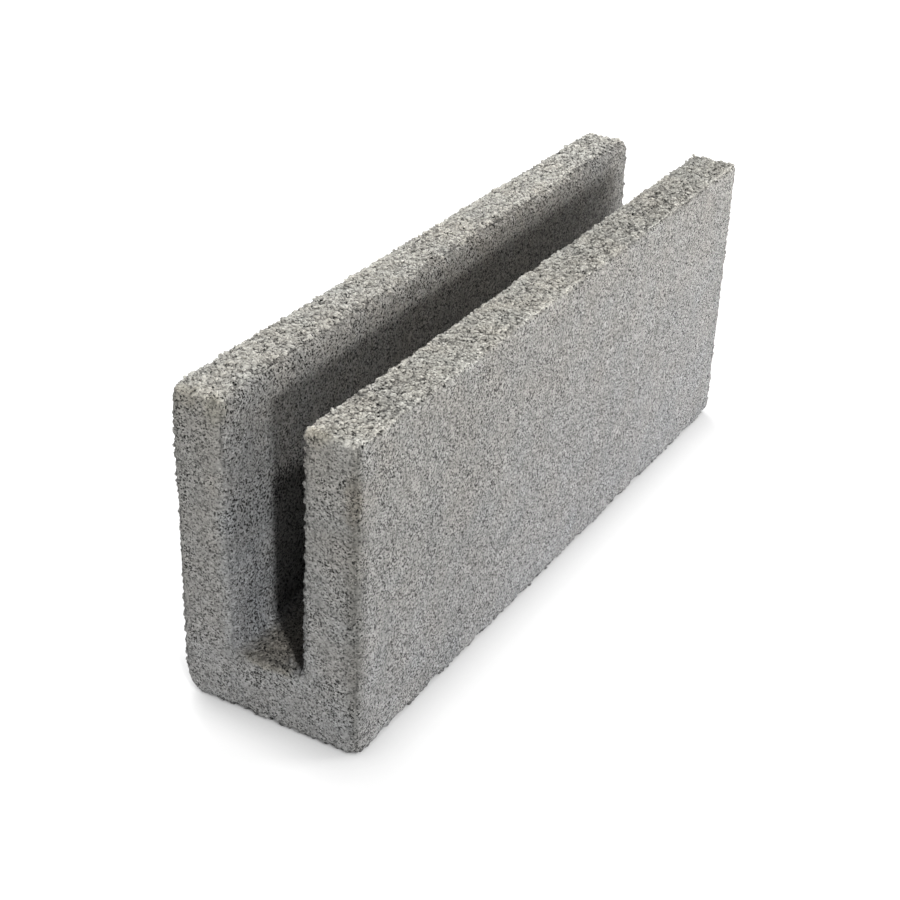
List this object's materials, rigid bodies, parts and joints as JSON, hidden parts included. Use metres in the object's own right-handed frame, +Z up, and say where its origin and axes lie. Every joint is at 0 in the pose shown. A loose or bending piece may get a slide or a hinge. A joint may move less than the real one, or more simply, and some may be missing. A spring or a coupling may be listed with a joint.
{
  "type": "concrete lintel block",
  "caption": "U-shaped cast concrete block with a channel open at the top and both ends, for lintels and bond beams.",
  "frame": {"origin": "centre of the bed face, the underside that the block rests on", "axes": "+Y along the length and the channel, +X across the channel from shell to shell, +Z up out of the channel"},
  "size_m": [0.12, 0.49, 0.2],
  "materials": {
    "concrete": "matte, open-grained pressed concrete"
  },
  "bodies": {
    "root": {"block": "concrete"}
  },
  "joints": []
}
